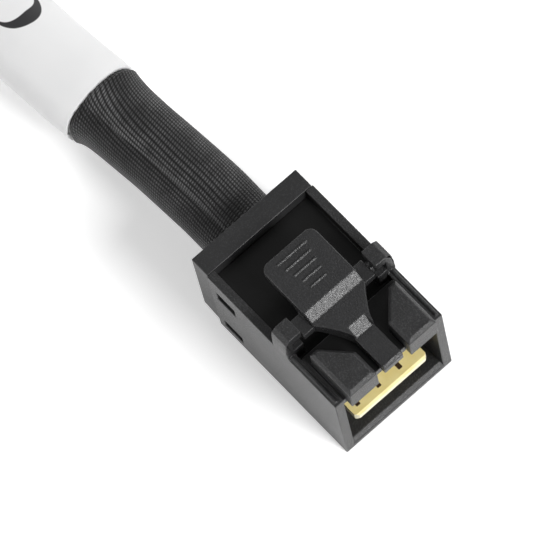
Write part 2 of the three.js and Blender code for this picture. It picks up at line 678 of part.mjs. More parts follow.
function coil() {
  const half = CABLE_WIDTH / 2 + COIL_SIDE_SLACK;
  const top = COIL_BOTTOM + CABLE_THICKNESS + (COIL_LEVELS - 1) * COIL_LEVEL_RISE;
  const round = CABLE_THICKNESS / 4;
  const profile = [
    [COIL_RADIUS - half + round, COIL_BOTTOM],
    [COIL_RADIUS + half - round, COIL_BOTTOM],
    [COIL_RADIUS + half, COIL_BOTTOM + round],
    [COIL_RADIUS + half, top - round],
    [COIL_RADIUS + half - round, top],
    [COIL_RADIUS - half + round, top],
    [COIL_RADIUS - half, top - round],
    [COIL_RADIUS - half, COIL_BOTTOM + round],
    [COIL_RADIUS - half + round, COIL_BOTTOM],
  ].map(([r, h]) => new THREE.Vector2(r, h));
  const geometry = new THREE.LatheGeometry(profile, COIL_STEPS);
  geometry.rotateX(Math.PI / 2);
  geometry.translate(COIL_X, LEAD_END_Y - COIL_RADIUS, 0);
  return part('cable_coil', solidOf(geometry), FINISHES.cable);
}

function roundedFrame(x0, x1, z0, z1, radius, frame) {
  frame.moveTo(x0 + radius, z0);
  frame.lineTo(x1 - radius, z0);
  frame.absarc(x1 - radius, z0 + radius, radius, -Math.PI / 2, 0, false);
  frame.lineTo(x1, z1 - radius);
  frame.absarc(x1 - radius, z1 - radius, radius, 0, Math.PI / 2, false);
  frame.lineTo(x0 + radius, z1);
  frame.absarc(x0 + radius, z1 - radius, radius, Math.PI / 2, Math.PI, false);
  frame.lineTo(x0, z0 + radius);
  frame.absarc(x0 + radius, z0 + radius, radius, Math.PI, 1.5 * Math.PI, false);
  return frame;
}

// Strap around both layers of the coil, on the side away from the plugs
function tie() {
  const half = CABLE_WIDTH / 2 + COIL_SIDE_SLACK + TIE_SIDE_CLEARANCE;
  const x = COIL_X - COIL_RADIUS;
  const y = LEAD_END_Y - COIL_RADIUS;
  const bottom = COIL_BOTTOM - TIE_CLEARANCE;
  const top = COIL_BOTTOM + CABLE_THICKNESS + (COIL_LEVELS - 1) * COIL_LEVEL_RISE + TIE_CLEARANCE;
  const wall = TIE_WALL;
  const outer = [x - half - wall, x + half + wall, bottom - wall, top + wall, TIE_CORNER + wall];
  const band = roundedFrame(...outer, new THREE.Shape());
  band.holes.push(roundedFrame(x - half, x + half, bottom, top, TIE_CORNER, new THREE.Path()));
  return part('coil_tie', prismAlongY(band, y - TIE_LENGTH / 2, y + TIE_LENGTH / 2), FINISHES.tie);
}

const cable = new THREE.Group();

const nearPlug = plug('a');
cable.add(nearPlug);

const farPlug = plug('b');
farPlug.position.set(FAR_PLUG_X, TAIL_Y, 0);
cable.add(farPlug);

cable.add(cableTube('cable_lead', LEAD_POINTS));
cable.add(cableTube('cable_tail', TAIL_POINTS));
const sleeveA = REAR_X - SLEEVE_START;
cable.add(shrinkSleeve('shrink_sleeve_a', LEAD_POINTS, sleeveA - SLEEVE_LENGTH, sleeveA));
const sleeveB = REAR_X + FAR_PLUG_X - SLEEVE_START;
cable.add(shrinkSleeve('shrink_sleeve_b', TAIL_POINTS, sleeveB - SLEEVE_LENGTH, sleeveB));
cable.add(coil());
cable.add(tie());

export default cable;
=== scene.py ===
"""Looks of an internal drive cable: a woven flat cable with white sleeves and a latching plug on each end.

Everything is in metres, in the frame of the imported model: +X out of the first plug's mouth, +Z up,
and the origin under the middle of the first plug.
"""

from __future__ import annotations

import logging
import math
from dataclasses import dataclass, field
from enum import Enum
from typing import Any, Iterable, Sequence, Union

import bmesh
import bpy
from mathutils import Matrix, Vector, noise
from mathutils.bvhtree import BVHTree


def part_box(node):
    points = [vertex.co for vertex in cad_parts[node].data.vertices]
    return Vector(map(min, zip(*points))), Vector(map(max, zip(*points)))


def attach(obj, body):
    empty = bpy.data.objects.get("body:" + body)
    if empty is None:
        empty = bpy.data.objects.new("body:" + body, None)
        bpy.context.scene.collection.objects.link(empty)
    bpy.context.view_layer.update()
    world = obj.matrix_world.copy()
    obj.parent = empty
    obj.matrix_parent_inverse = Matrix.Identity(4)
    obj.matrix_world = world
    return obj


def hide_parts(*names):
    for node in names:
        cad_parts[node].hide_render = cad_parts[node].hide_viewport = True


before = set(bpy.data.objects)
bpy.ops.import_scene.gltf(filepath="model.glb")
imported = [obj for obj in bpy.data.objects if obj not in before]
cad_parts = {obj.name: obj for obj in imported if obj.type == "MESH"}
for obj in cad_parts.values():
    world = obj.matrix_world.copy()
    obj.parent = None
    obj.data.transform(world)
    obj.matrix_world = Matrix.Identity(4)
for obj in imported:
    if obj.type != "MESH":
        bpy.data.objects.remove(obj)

MM = 0.001
UP = Vector((0.0, 0.0, 1.0))
LOG = logging.getLogger("drive_cable")

# A Mix node's colour sockets go by number, because several of its sockets share a name.
MIX_FACTOR = 0
MIX_FIRST = 6
MIX_SECOND = 7
MIX_RESULT = 2

Number = Union[float, "Signal"]
Colour = tuple[float, float, float]
Point = tuple[float, float, float]
Range = tuple[float, float]
Section = Sequence[tuple[float, float]]
Box = tuple[Vector, Vector]


class Stiffness(Enum):
    """How readily the cable bends."""

    LIMP = "limp"
    MEDIUM = "medium"
    STIFF = "stiff"


class Lay(Enum):
    """How the cable lies."""

    LOOSE = "loose"
    COILED = "coiled"


class Signal:
    """A node socket that can stand in a sum or a product."""

    def __init__(self, graph: "Graph", socket: bpy.types.NodeSocket) -> None:
        """Keeps the graph and the socket."""
        self.graph = graph
        self.socket = socket

    def math(self, operation: str, *others: Number) -> "Signal":
        """Adds one Math node.

        Args:
            operation: The node's operation, such as ADD.
            others: What its further inputs hold.

        Returns:
            The node's result.
        """
        return self.graph.math(operation, self, *others)

    def __add__(self, other: Number) -> "Signal":
        """self + other."""
        return self.math("ADD", other)

    __radd__ = __add__

    def __sub__(self, other: Number) -> "Signal":
        """self - other."""
        return self.math("SUBTRACT", other)

    def __rsub__(self, other: Number) -> "Signal":
        """other - self."""
        return self.graph.math("SUBTRACT", other, self)

    def __mul__(self, other: Number) -> "Signal":
        """self * other."""
        return self.math("MULTIPLY", other)

    __rmul__ = __mul__

    def __truediv__(self, other: Number) -> "Signal":
        """self / other."""
        return self.math("DIVIDE", other)

    def __pow__(self, other: Number) -> "Signal":
        """self to the power of other."""
        return self.math("POWER", other)

    def sine(self) -> "Signal":
        """The sine of the value."""
        return self.math("SINE")

    def wave(self) -> "Signal":
        """The sine of the value, from 0 to 1."""
        return self.sine().between(0.5, 1.0)

    def size(self) -> "Signal":
        """The value without its sign."""
        return self.math("ABSOLUTE")

    def larger(self, other: Number) -> "Signal":
        """The larger of two values."""
        return self.math("MAXIMUM", other)

    def between(self, low: float, high: float) -> "Signal":
        """Low where the value is 0 and high where it is 1."""
        return self * (high - low) + low

    def blend(self, other: "Signal", share: float) -> "Signal":
        """The value with the other one mixed in by its share."""
        return self * (1.0 - share) + other * share

    def fade(self, reach: float) -> "Signal":
        """1 at nothing, falling off exponentially over the reach."""
        return self.graph.math("EXPONENT", self * (-1.0 / reach))

    def ramp(self, low: float, high: float) -> "Signal":
        """Steps smoothly from 0 to 1.

        Args:
            low: The value where the step starts.
            high: The value where it ends.

        Returns:
            The step.
        """
        made = self.graph.node(
            "ShaderNodeMapRange",
            {"interpolation_type": "SMOOTHSTEP"},
            {"Value": self, "From Min": low, "From Max": high},
        )
        return Signal(self.graph, made.outputs["Result"])


class Graph:
    """A node tree that is filled by plain expressions."""

    def __init__(self, tree: bpy.types.NodeTree) -> None:
        """Starts the tree without nodes."""
        self.tree = tree
        self.tree.nodes.clear()

    def node(
        self, kind: str, settings: dict[str, Any] | None = None, sockets: dict[Any, Any] | None = None
    ) -> bpy.types.Node:
        """Adds one node: its settings first, then its sockets.

        Args:
            kind: The node's type.
            settings: Properties of the node itself.
            sockets: Values or signals for its inputs, by name or number.

        Returns:
            The new node.
        """
        made = self.tree.nodes.new(kind)
        for key, value in (settings or {}).items():
            setattr(made, key, value)
        for key, value in (sockets or {}).items():
            self.feed(made.inputs[key], value)
        return made

    def feed(self, socket: bpy.types.NodeSocket, value: Any) -> None:
        """Links a signal to an input, or sets the input's own value.

        Args:
            socket: The input.
            value: A signal, a node's output, a colour or a number.
        """
        if isinstance(value, Signal):
            self.tree.links.new(value.socket, socket)
        elif isinstance(value, bpy.types.NodeSocket):
            self.tree.links.new(value, socket)
        elif isinstance(value, tuple) and len(value) < len(socket.default_value):
            socket.default_value = (*value, 1.0)
        else:
            socket.default_value = value

    def math(self, operation: str, *values: Number) -> Signal:
        """Adds a Math node for the values.

        Args:
            operation: The node's operation.
            values: Numbers or signals, in the order of its inputs.

        Returns:
            The node's result.
        """
        made = self.node("ShaderNodeMath", {"operation": operation}, dict(enumerate(values)))
        return Signal(self, made.outputs["Value"])

    def mix(self, factor: Number, first: Any, second: Any) -> Signal:
        """Mixes two colours.

        Args:
            factor: 0 gives the first colour and 1 the second.
            first: A colour or a signal.
            second: A colour or a signal.

        Returns:
            The mixed colour.
        """
        inputs = {MIX_FACTOR: factor, MIX_FIRST: first, MIX_SECOND: second}
        made = self.node("ShaderNodeMix", {"data_type": "RGBA"}, inputs)
        return Signal(self, made.outputs[MIX_RESULT])

    def coordinate(self, kind: str) -> Signal:
        """One output of a Texture Coordinate node."""
        return Signal(self, self.node("ShaderNodeTexCoord").outputs[kind])

    def ray(self, kind: str) -> Signal:
        """One output of a Light Path node."""
        return Signal(self, self.node("ShaderNodeLightPath").outputs[kind])

    def parts(self, vector: Signal) -> list[Signal]:
        """The three parts of a vector."""
        made = self.node("ShaderNodeSeparateXYZ", {}, {"Vector": vector})
        return [Signal(self, made.outputs[axis]) for axis in "XYZ"]


class Finish(Graph):
    """A material's node tree with one Principled shader."""

    def __init__(self, name: str) -> None:
        """Starts the material with its shader and output.

        Args:
            name: The material's name.
        """
        self.material = bpy.data.materials.new(name)
        self.material.use_nodes = True
        super().__init__(self.material.node_tree)
        self.shader = self.node("ShaderNodeBsdfPrincipled")
        self.node("ShaderNodeOutputMaterial", {}, {"Surface": self.shader.outputs["BSDF"]})

    def place(self) -> Signal:
        """The place on the piece, in metres."""
        return self.coordinate("Object")

    def facing(self) -> list[Signal]:
        """The three parts of the surface's direction in the model's frame."""
        return self.parts(self.coordinate("Normal"))

    def unwrapped(self) -> tuple[Signal, Signal]:
        """The two parts of the piece's UV map, in millimetres."""
        around, along, _ = self.parts(self.coordinate("UV"))
        return around, along

    def noise(self, vector: Signal, scale: float, detail: float = 2.0, rough: float = 0.5) -> Signal:
        """Noise of about 0 to 1.

        Args:
            vector: Where it is read.
            scale: Lumps to the metre.
            detail: Finer layers.
            rough: How strong the finer layers are.

        Returns:
            The noise.
        """
        inputs = {"Vector": vector, "Scale": scale, "Detail": detail, "Roughness": rough}
        return Signal(self, self.node("ShaderNodeTexNoise", {}, inputs).outputs["Fac"])

    def bump(self, height: Number, depth: float, strength: float = 1.0) -> None:
        """Raises the surface by height times depth.

        Args:
            height: From 0 to 1.
            depth: In metres.
            strength: The share of it that shows.
        """
        inputs = {"Height": height, "Distance": depth, "Strength": strength}
        made = self.node("ShaderNodeBump", {}, inputs)
        self.feed(self.shader.inputs["Normal"], made.outputs["Normal"])

    def set(self, **sockets: Any) -> bpy.types.Material:
        """Sets the shader's inputs, named with underscores for spaces.

        Args:
            sockets: Values or signals.

        Returns:
            The material.
        """
        for key, value in sockets.items():
            self.feed(self.shader.inputs[key.replace("_", " ")], value)
        return self.material


@dataclass(frozen=True)
class SparkGrainPlastic:
    """Black moulded plastic with the fine grain of a spark-eroded mould."""

    name: str
    shade: float = 0.021
    contrast: float = 1.6
    highlight: float = 1.3
    blue: float = 1.03
    grain: float = 9500.0
    cloud: float = 420.0
    specks: Range = (0.46, 0.72)
    speck_share: float = 0.6
    cloud_share: float = 0.3
    depth: float = 0.04 * MM
    roughness: float = 0.38
    roughness_swing: float = 0.1

    def make(self) -> bpy.types.Material:
        """Builds the material.

        Returns:
            The material.
        """
        finish = Finish(self.name)
        place = finish.place()
        fine = finish.noise(place, self.grain, detail=3.0, rough=0.6)
        cloud = finish.noise(place, self.cloud, detail=3.0)
        speck = fine.ramp(*self.specks)
        low = self.shade / self.contrast
        high = self.shade * self.contrast * self.highlight
        finish.bump(fine, self.depth)
        return finish.set(
            Base_Color=finish.mix(
                speck * self.speck_share + cloud * self.cloud_share,
                (low, low, low * self.blue),
                (high, high, high * self.blue),
            ),
            Roughness=self.roughness + (cloud - 0.5 - speck) * self.roughness_swing,
        )


@dataclass(frozen=True)
class SmoothPlastic:
    """Black plastic from a polished mould."""

    name: str
    shade: float = 0.0055
    dark_share: float = 0.7
    pale_share: float = 1.5
    flow_marks: float = 260.0
    grain: float = 7000.0
    depth: float = 0.003 * MM
    roughness: float = 0.4
    roughness_swing: float = 0.12
    gloss: float = 0.35

    def make(self) -> bpy.types.Material:
        """Builds the material.

        Returns:
            The material.
        """
        finish = Finish(self.name)
        place = finish.place()
        flow = finish.noise(place, self.flow_marks, detail=4.0, rough=0.6)
        finish.bump(finish.noise(place, self.grain), self.depth)
        dark = (self.shade * self.dark_share,) * 3
        pale = (self.shade * self.pale_share,) * 3
        return finish.set(
            Base_Color=finish.mix(flow, dark, pale),
            Roughness=self.roughness + (flow - 0.5) * self.roughness_swing,
            Specular_IOR_Level=self.gloss,
        )


@dataclass(frozen=True)
class WovenMonofilament:
    """The cable's woven sleeve: rows of short stitches that run along the cable, with one fold and painted
    shade beside it.

    The lengths are in millimetres, as the cable's UV map is.
    """

    name: str
    fold: float
    opening: float
    row: float = 0.33
    row_sway: float = 1.2
    sway_lumps: float = 90.0
    twist: float = 1.2
    twist_reach: float = 3.0
    stitch: float = 0.245
    stitch_slant: float = 0.37
    stitch_sway: float = 2.0
    stitch_gap: float = 0.22
    stitch_edge: float = 1.3
    wale: float = 0.61
    patches: float = 420.0
    patch_edge: Range = (0.3, 0.7)
    patch_light: Range = (0.4, 1.0)
    wale_light: Range = (0.55, 1.0)
    fibre: float = 9000.0
    fibre_light: Range = (0.6, 1.4)
    # Where the painted shade beside the fold starts and ends, and how dark it is.
    painted_shade_rises: Range = (0.0, 0.12)
    painted_shade_falls: Range = (0.25, 1.9)
    painted_shade_depth: float = 0.62
    thread_edge: Range = (0.05, 0.12)
    thread_light: Range = (0.2, 0.6)
    thread_appears: Range = (1.5, 4.0)
    depth: float = 0.09 * MM
    relief: float = 0.9
    dark: Colour = (0.0015, 0.0015, 0.0017)
    pale: Colour = (0.18, 0.18, 0.182)
    roughness: Range = (0.6, 0.4)
    gloss: float = 0.3

    def make(self) -> bpy.types.Material:
        """Builds the material.

        Returns:
            The material.
        """
        finish = Finish(self.name)
        around, along = finish.unwrapped()
        place = finish.place()
        sway = finish.noise(place, self.sway_lumps) - 0.5
        from_opening = (along - self.opening).size()
        turned = around + from_opening.fade(self.twist_reach) * self.twist
        rows = turned / self.row + sway * self.row_sway
        beat = ((along / self.stitch + rows * self.stitch_slant + sway * self.stitch_sway) * math.tau).wave()
        stitches = ((rows * math.pi).sine().size() ** self.stitch_edge) * beat.between(self.stitch_gap, 1.0)
        wear = finish.noise(place, self.patches, detail=3.0, rough=0.6).ramp(*self.patch_edge)
        fibre = finish.noise(place, self.fibre)
        wales = (rows * self.wale).wave().between(*self.wale_light)
        light = stitches * wear.between(*self.patch_light) * wales
        # The strip beside the fold is darkened as painted shade, where the fabric lies in shadow.
        light = light * fibre.between(*self.fibre_light) * (1.0 - self.painted_shade_depth * self.shade(around))
        seen = from_opening.ramp(*self.thread_appears)
        light = light.larger(self.thread(around) * seen * beat.between(*self.thread_light))
        finish.bump(stitches, self.depth, self.relief)
        return finish.set(
            Base_Color=finish.mix(light, self.dark, self.pale),
            Roughness=stitches.between(*self.roughness),
            Specular_IOR_Level=self.gloss,
        )

    def shade(self, around: Signal) -> Signal:
        """The painted shade beside the fold: a darker strip where the fabric lies in shadow.

        Args:
            around: The place round the cable.

        Returns:
            1 in the strip and 0 away from it.
        """
        aside = around - self.fold
        return aside.ramp(*self.painted_shade_rises) * (1.0 - aside.ramp(*self.painted_shade_falls))

    def thread(self, around: Signal) -> Signal:
        """The lighter thread on the fold.

        Args:
            around: The place round the cable.

        Returns:
            1 on the thread and 0 beside it.
        """
        return 1.0 - (around - self.fold).size().ramp(*self.thread_edge)


@dataclass(frozen=True)
class ShrunkTube:
    """White shrink sleeve, with or without a plain printed nought on its upper side.

    The lengths are in millimetres, as the sleeve's UV map is. Those of the strokes are shares of the
    nought's half width.
    """

    name: str
    printed: Range | None = None
    half_width: float = 1.8
    half_height: float = 2.85
    stroke: Range = (0.05, 0.22)
    soft_edge: float = 0.02
    blunt: float = 0.001
    waves: float = 320.0
    grain: float = 5200.0
    depth: float = 0.07 * MM
    relief: float = 0.6
    grain_share: float = 0.1
    roughness: Range = (0.42, 0.56)
    low_white: Colour = (0.84, 0.84, 0.845)
    high_white: Colour = (0.88, 0.88, 0.88)
    ink_colour: Colour = (0.03, 0.03, 0.032)

    def make(self) -> bpy.types.Material:
        """Builds the material.

        Returns:
            The material.
        """
        finish = Finish(self.name)
        place = finish.place()
        waves = finish.noise(place, self.waves)
        fine = finish.noise(place, self.grain)
        colour = finish.mix(waves, self.low_white, self.high_white)
        if self.printed:
            colour = finish.mix(self.ink(*finish.unwrapped()), colour, self.ink_colour)
        finish.bump(waves.blend(fine, self.grain_share), self.depth, self.relief)
        return finish.set(Base_Color=colour, Roughness=fine.between(*self.roughness))

    def ink(self, around: Signal, along: Signal) -> Signal:
        """The printed nought: an upright oval ring with thicker sides.

        Args:
            around: The place round the sleeve.
            along: The place along it.

        Returns:
            1 on the ink and 0 beside it.
        """
        x = (around - self.printed[0]) / self.half_width
        y = (along - self.printed[1]) / self.half_height
        radius = (x * x + y * y) ** 0.5
        lean = y.size() / (radius + self.blunt)
        stroke = (lean * lean).between(*self.stroke)
        return 1.0 - ((radius - 1.0 + stroke).size() - stroke).ramp(-self.soft_edge, self.soft_edge)


@dataclass(frozen=True)
class CardLaminate:
    """Yellow glass-fibre laminate with a cream cut edge."""

    name: str
    weave: float = 2600.0
    cloud: float = 1500.0
    cloud_share: float = 0.6
    cut_to_face: Range = (0.35, 0.8)
    depth: float = 0.012 * MM
    dark_face: Colour = (0.73, 0.60, 0.22)
    pale_face: Colour = (0.86, 0.76, 0.39)
    dark_edge: Colour = (0.74, 0.69, 0.47)
    pale_edge: Colour = (0.82, 0.78, 0.60)
    roughness: Range = (0.42, 0.62)

    def make(self) -> bpy.types.Material:
        """Builds the material.

        Returns:
            The material.
        """
        finish = Finish(self.name)
        place = finish.place()
        x, y, _ = finish.parts(place)
        weave = ((x * self.weave).sine() * (y * self.weave).sine()).between(0.5, 1.0)
        cloud = finish.noise(place, self.cloud, detail=3.0)
        blend = weave.blend(cloud, self.cloud_share)
        face = finish.mix(blend, self.dark_face, self.pale_face)
        edge = finish.mix(cloud, self.dark_edge, self.pale_edge)
        flat = finish.facing()[2].size().ramp(*self.cut_to_face)
        finish.bump(blend, self.depth)
        return finish.set(Base_Color=finish.mix(flat, edge, face), Roughness=cloud.between(*self.roughness))


@dataclass(frozen=True)
class PlatedContact:
    """Gold plate on the contact pads, a little brushed along the plug."""

    name: str
    colour: Colour = (0.86, 0.66, 0.25)
    brighter: float = 1.15
    metal: float = 1.0
    streaks: float = 3800.0
    lines: float = 52000.0
    line_sway: float = 4.0
    depth: float = 0.0012 * MM
    roughness: Range = (0.32, 0.44)

    def make(self) -> bpy.types.Material:
        """Builds the material.

        Returns:
            The material.
        """
        finish = Finish(self.name)
        place = finish.place()
        streak = finish.noise(place, self.streaks)
        lines = (finish.parts(place)[1] * self.lines + streak * self.line_sway).wave()
        finish.bump(lines, self.depth)
        pale = tuple(min(1.0, part * self.brighter) for part in self.colour)
        return finish.set(
            Base_Color=finish.mix(streak, self.colour, pale),
            Metallic=self.metal,
            Roughness=lines.between(*self.roughness),
        )


@dataclass(frozen=True)
class CastCompound:
    """Dark cast compound over the soldered wires."""

    name: str
    cloud: float = 900.0
    depth: float = 0.06 * MM
    dark: Colour = (0.028, 0.028, 0.025)
    pale: Colour = (0.06, 0.06, 0.055)
    roughness: Range = (0.3, 0.5)

    def make(self) -> bpy.types.Material:
        """Builds the material.

        Returns:
            The material.
        """
        finish = Finish(self.name)
        cloud = finish.noise(finish.place(), self.cloud, detail=4.0, rough=0.6)
        finish.bump(cloud, self.depth)
        return finish.set(
            Base_Color=finish.mix(cloud, self.dark, self.pale),
            Roughness=cloud.between(*self.roughness),
        )


@dataclass(frozen=True)
class WrappedFoil:
    """Foil that is wrapped in a spiral over the wire pairs."""

    name: str
    wraps: float = 4200.0
    slant: float = 0.6
    wrap_share: float = 0.6
    crinkles: float = 5200.0
    depth: float = 0.05 * MM
    metal: float = 0.9
    dark: Colour = (0.52, 0.53, 0.55)
    pale: Colour = (0.74, 0.75, 0.77)
    roughness: Range = (0.28, 0.48)

    def make(self) -> bpy.types.Material:
        """Builds the material.

        Returns:
            The material.
        """
        finish = Finish(self.name)
        place = finish.place()
        x, y, _ = finish.parts(place)
        turns = ((x + y * self.slant) * self.wraps).wave()
        crinkle = finish.noise(place, self.crinkles, detail=3.0)
        finish.bump(crinkle.blend(turns, self.wrap_share), self.depth)
        return finish.set(
            Base_Color=finish.mix(crinkle, self.dark, self.pale),
            Metallic=self.metal,
            Roughness=crinkle.between(*self.roughness),
        )


@dataclass(frozen=True)
class HookStrap:
    """Black hook-and-loop strap: fine loops in rows."""

    name: str
    rows: float = 9000.0
    fuzz: float = 6000.0
    loops_raised: float = 0.6
    fuzz_tinted: float = 0.6
    depth: float = 0.12 * MM
    roughness: float = 0.85
    sheen: float = 0.2
    dark: Colour = (0.006, 0.006, 0.007)
    pale: Colour = (0.05, 0.05, 0.052)

    def make(self) -> bpy.types.Material:
        """Builds the material.

        Returns:
            The material.
        """
        finish = Finish(self.name)
        place = finish.place()
        x, y, z = finish.parts(place)
        loops = ((y * self.rows).sine() * ((x + z) * self.rows).sine()).between(0.5, 1.0)
        fuzz = finish.noise(place, self.fuzz, detail=3.0, rough=0.7)
        finish.bump(fuzz.blend(loops, self.loops_raised), self.depth)
        return finish.set(
            Base_Color=finish.mix(loops.blend(fuzz, self.fuzz_tinted), self.dark, self.pale),
            Roughness=self.roughness,
            Sheen_Weight=self.sheen,
        )


class Finishes:
    """The finishes of the plugs and the strap, each made once."""

    def __init__(self) -> None:
        """Makes the materials."""
        self.housing = SparkGrainPlastic(
            "housing_grain", contrast=2.3, grain=8500.0, depth=0.05 * MM
        ).make()
        self.cap = SparkGrainPlastic("cap_grain", shade=0.023, depth=0.007 * MM, roughness=0.45).make()
        self.latch = SparkGrainPlastic("latch_grain", shade=0.026, grain=7500.0, roughness=0.33).make()
        # The pocket's darker polish, which also covers the deck and the floor in front of the pocket as
        # painted shade.
        self.pocket = SmoothPlastic("pocket_polish_and_painted_shade").make()
        self.insert = SmoothPlastic("insert_plastic", shade=0.006, roughness=0.5).make()
        self.laminate = CardLaminate("card_laminate").make()
        self.gold = PlatedContact("gold_contact").make()
        self.ground = PlatedContact("ground_contact", colour=(0.03, 0.014, 0.008), metal=0.0).make()
        self.potting = CastCompound("solder_potting").make()
        self.foil = WrappedFoil("wire_foil").make()
        self.strap = HookStrap("hook_strap").make()


def piece_from(shape: bmesh.types.BMesh, name: str, *materials: bpy.types.Material) -> bpy.types.Object:
    """Turns a shape into an object of the scene.

    Args:
        shape: The finished shape, which is freed.
        name: The piece's name.
        materials: What its faces' material numbers stand for.

    Returns:
        The new object.
    """
    mesh = bpy.data.meshes.new(name)
    shape.to_mesh(mesh)
    shape.free()
    for material in materials:
        mesh.materials.append(material)
    made = bpy.data.objects.new(name, mesh)
    bpy.context.scene.collection.objects.link(made)
    return made


def settle(piece: bpy.types.Object, body: str, slot: str, *nodes: str) -> bpy.types.Object:
    """Ties a piece to its body and hides the solids that it stands for.

    Args:
        piece: The piece.
        body: The body that it moves with.
        slot: Not used.
        nodes: The solids that it replaces, if any.

    Returns:
        The piece.
    """
    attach(piece, body)
    if nodes:
        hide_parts(*nodes)
    LOG.info("%s: %d faces on %s", piece.name, len(piece.data.polygons), body)
    return piece


def smooth_by_angle(shape: bmesh.types.BMesh, limit: float) -> None:
    """Shades faces smoothly, apart from edges sharper than the limit.

    Args:
        shape: The shape.
        limit: The angle, in degrees.
    """
    for face in shape.faces:
        face.smooth = True
    for edge in shape.edges:
        edge.smooth = edge.calc_face_angle(0.0) < math.radians(limit)


def perimeter(section: Section) -> float:
    """The length of a closed section's outline."""
    ring = list(section)
    return sum(math.dist(a, b) for a, b in zip(ring, ring[1:] + ring[:1]))


def distances_along(line: Sequence[Vector]) -> list[float]:
    """How far along a line each of its points is.

    Args:
        line: The points.

    Returns:
        A distance for each point, from 0.
    """
    far = [0.0]
    for before, here in zip(line, line[1:]):
        far.append(far[-1] + (here - before).length)
    return far


@dataclass
class SolidCopy:
    """A copy of a rigid solid whose moulded edges are rounded."""

    node: str
    radius: float
    segments: int = 2
    merged: float = 0.002 * MM
    plain: float = 0.6
    sharpest: float = 22.0
    smooth_limit: float = 30.0
    spared: Box | None = None
    shape: bmesh.types.BMesh = field(init=False)
    rounded: set[bmesh.types.BMFace] = field(init=False)

    def __post_init__(self) -> None:
        """Merges the solid's loose triangles into plain faces and rounds the sharp edges."""
        self.shape = bmesh.new()
        self.shape.from_mesh(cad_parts[self.node].data)
        bmesh.ops.remove_doubles(self.shape, verts=self.shape.verts, dist=self.merged)
        bmesh.ops.dissolve_limit(
            self.shape, angle_limit=math.radians(self.plain), verts=self.shape.verts, edges=self.shape.edges
        )
        skin = BVHTree.FromBMesh(self.shape)
        self.rounded = self.round(self.sharp_edges())
        self.tame(skin)

    def sharp_edges(self) -> list[bmesh.types.BMEdge]:
        """The edges to round: all the sharp ones outside the spared box.

        Returns:
            The edges.
        """
        limit = math.radians(self.sharpest)
        edges = [edge for edge in self.shape.edges if edge.calc_face_angle(0.0) > limit]
        if self.spared:
            low, high = self.spared
            edges = [
                edge for edge in edges
                if any(not low[i] < vert.co[i] < high[i] for vert in edge.verts for i in range(3))
            ]
        return edges

    def round(self, edges: Sequence[bmesh.types.BMEdge]) -> set[bmesh.types.BMFace]:
        """Rounds some edges.

        Args:
            edges: The edges.

        Returns:
            The faces of the roundings.
        """
        made = bmesh.ops.bevel(
            self.shape,
            geom=list(edges),
            offset=self.radius,
            offset_type="OFFSET",
            segments=self.segments,
            profile=0.5,
            affect="EDGES",
            clamp_overlap=False,
            material=-1,
        )
        return set(made["faces"])

    def tame(self, skin: BVHTree) -> None:
        """Draws points that the rounding pushed out of the solid back onto its skin.

        Args:
            skin: The solid's own surface.
        """
        for vert in self.shape.verts:
            nearest, normal, _, distance = skin.find_nearest(vert.co)
            if (vert.co - nearest).dot(normal) > 0.0 or distance > self.radius:
                vert.co = nearest

    def paint(self, number: int, box: Box) -> None:
        """Gives the faces whose middle lies in a box another material.

        Args:
            number: The material's number.
            box: The box's lowest and highest corner.
        """
        low, high = box
        for face in self.shape.faces:
            middle = face.calc_center_median()
            if all(low[i] < middle[i] < high[i] for i in range(3)):
                face.material_index = number

    def shade(self) -> None:
        """Shades the roundings and the curved walls smoothly and leaves the plain walls flat."""
        smooth_by_angle(self.shape, self.smooth_limit)
        for edge in self.shape.edges:
            share = sum(face in self.rounded for face in edge.link_faces)
            if share == len(edge.link_faces):
                edge.smooth = True
            elif share:
                edge.smooth = False

    def finish(self, name: str, *materials: bpy.types.Material) -> bpy.types.Object:
        """Makes the piece.

        Args:
            name: The piece's name.
            materials: Its materials.

        Returns:
            The piece.
        """
        self.shade()
        return piece_from(self.shape, name, *materials)


